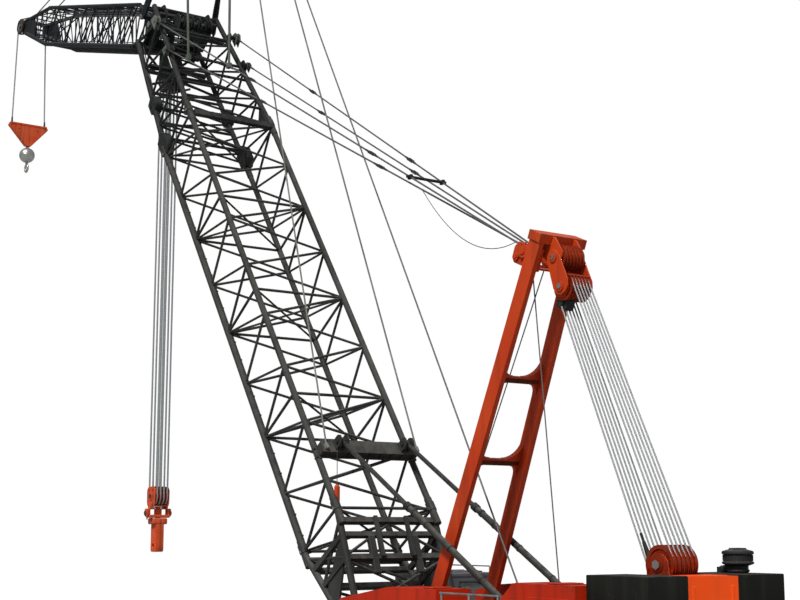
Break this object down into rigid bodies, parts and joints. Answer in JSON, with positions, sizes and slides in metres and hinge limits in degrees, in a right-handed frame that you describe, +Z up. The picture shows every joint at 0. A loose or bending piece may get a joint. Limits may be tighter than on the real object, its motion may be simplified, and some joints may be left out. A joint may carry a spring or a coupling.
{
  "type": "crawler crane",
  "caption": "Lattice-boom crawler crane with live mast, fixed jib, falls and hooks, on two long tracks.",
  "frame": {"origin": "on the ground under the slewing axis", "axes": "+X forward along the boom, +Y to the left, +Z up"},
  "size_m": [28.7057, 5.46, 22.2117],
  "materials": {
    "crane_orange": "sun-faded orange enamel",
    "chassis_black": "black enamel with dust",
    "track_steel": "worn cast shoes",
    "boom_grey": "dark grey enamel",
    "jib_black": "blue-black enamel",
    "counterweight_black": "matt charcoal enamel",
    "machined_steel": "bare steel",
    "sheave_orange": "orange enamel on sheaves",
    "wire_rope": "stranded wire rope",
    "engine_grey": "engine enamel",
    "glass": "tinted safety glass",
    "seat_black": "vinyl seat"
  },
  "bodies": {
    "undercarriage": {"carbody": "chassis_black", "side_frame_left": "chassis_black", "side_frame_right": "chassis_black", "track_left": "track_steel", "track_right": "track_steel", "sprockets": "track_steel", "idlers": "track_steel", "track_rollers": "track_steel", "slewing_ring": "machined_steel"},
    "upperworks": {"revolving_frame": "crane_orange", "house_left": "crane_orange", "house_right": "crane_orange", "engine": "engine_grey", "counterweight_blocks": "counterweight_black", "counterweight_centre": "crane_orange", "gantry_sheaves": "sheave_orange", "air_cleaner": "chassis_black", "hoist_drums": "machined_steel", "walkways": "chassis_black", "cab_shell": "crane_orange", "cab_glass": "glass", "cab_seat": "seat_black"},
    "cab_door": {"cab_door": "crane_orange"},
    "house_door": {"house_door": "crane_orange"},
    "boom": {"boom_butt": "boom_grey", "boom_insert": "boom_grey", "boom_top": "boom_grey", "boom_crossbeam": "boom_grey", "rope_guides": "boom_grey", "head_sheaves": "boom_grey", "jib": "jib_black", "jib_strut": "jib_black", "jib_stays": "wire_rope", "jib_tip_sheaves": "sheave_orange"},
    "mast": {"mast": "crane_orange", "mast_sheaves": "sheave_orange", "hoist_ropes": "wire_rope"},
    "pendants_upper": {"pendants_upper": "wire_rope"},
    "pendants_lower": {"pendants_lower": "wire_rope"},
    "backstop_tubes": {"backstop_tubes": "boom_grey"},
    "backstop_rods": {"backstop_rods": "machined_steel"},
    "main_block": {"main_falls": "wire_rope", "main_block": "sheave_orange"},
    "main_hook": {"main_hook": "crane_orange"},
    "jib_block": {"jib_falls": "wire_rope", "jib_block": "crane_orange"},
    "ball_hook": {"ball_hook": "machined_steel"}
  },
  "joints": [
    {"name": "slew", "type": "hinge", "parent": "undercarriage", "child": "upperworks", "pos_m": [0, 0, 1.33], "axis": [0, 0, 1], "continuous": true},
    {"name": "luff", "type": "hinge", "parent": "upperworks", "child": "boom", "pos_m": [1.35, 0, 2.05], "axis": [0, -1, 0], "range_deg": [-15, 23]},
    {"name": "mast_hinge", "type": "hinge", "parent": "upperworks", "child": "mast", "pos_m": [0.5, 0, 2.05], "axis": [0, -1, 0], "range_deg": [-16.2, 24.7], "deforming": ["hoist_ropes"]},
    {"name": "pendant_upper_pivot", "type": "hinge", "parent": "boom", "child": "pendants_upper", "pos_m": [10.79858, 0, 16.80526], "axis": [0, -1, 0], "range_deg": [-1.2, 0.8]},
    {"name": "pendant_lower_pivot", "type": "hinge", "parent": "boom", "child": "pendants_lower", "pos_m": [10.16347, 0, 15.91202], "axis": [0, -1, 0], "range_deg": [-1.2, 0.8]},
    {"name": "backstop_hinge", "type": "hinge", "parent": "upperworks", "child": "backstop_tubes", "pos_m": [-2.58, 0, 2.95], "axis": [0, -1, 0], "range_deg": [-8.1, 12.3]},
    {"name": "backstop_slide", "type": "slide", "parent": "backstop_tubes", "child": "backstop_rods", "axis": [0.8635, 0, 0.5043], "range_m": [-1.16, 0.76]},
    {"name": "main_falls_hang", "type": "hinge", "parent": "boom", "child": "main_block", "pos_m": [12.33887, 0, 15.78995], "axis": [0, -1, 0], "range_deg": [-23.5, 15.5]},
    {"name": "main_hook_swivel", "type": "hinge", "parent": "main_block", "child": "main_hook", "pos_m": [12.33887, 0, 4.80495], "axis": [0, 0, 1], "continuous": true},
    {"name": "jib_falls_hang", "type": "hinge", "parent": "boom", "child": "jib_block", "pos_m": [22.25142, 0, 20.19359], "axis": [0, -1, 0], "range_deg": [-23.5, 15.5]},
    {"name": "ball_hook_swivel", "type": "hinge", "parent": "jib_block", "child": "ball_hook", "pos_m": [22.45572, 0, 16.4336], "axis": [0, 0, 1], "continuous": true},
    {"name": "cab_door_hinge", "type": "hinge", "parent": "upperworks", "child": "cab_door", "pos_m": [3.05, -2.336, 2.4], "axis": [0, 0, 1], "range_deg": [0, 100]},
    {"name": "house_door_hinge", "type": "hinge", "parent": "upperworks", "child": "house_door", "pos_m": [-0.37, 1.656, 2.6], "axis": [0, 0, 1], "range_deg": [0, 110]}
  ],
  "couplings": [
    {"joint": "mast_hinge", "follows": "luff", "ratio": 1.065},
    {"joint": "pendant_upper_pivot", "follows": "luff", "ratio": -0.05},
    {"joint": "pendant_lower_pivot", "follows": "luff", "ratio": -0.05},
    {"joint": "backstop_hinge", "follows": "luff", "ratio": 0.527},
    {"joint": "backstop_slide", "follows": "luff", "m_per_rad": -2.85},
    {"joint": "main_falls_hang", "follows": "luff", "ratio": -1},
    {"joint": "jib_falls_hang", "follows": "luff", "ratio": -1}
  ]
}
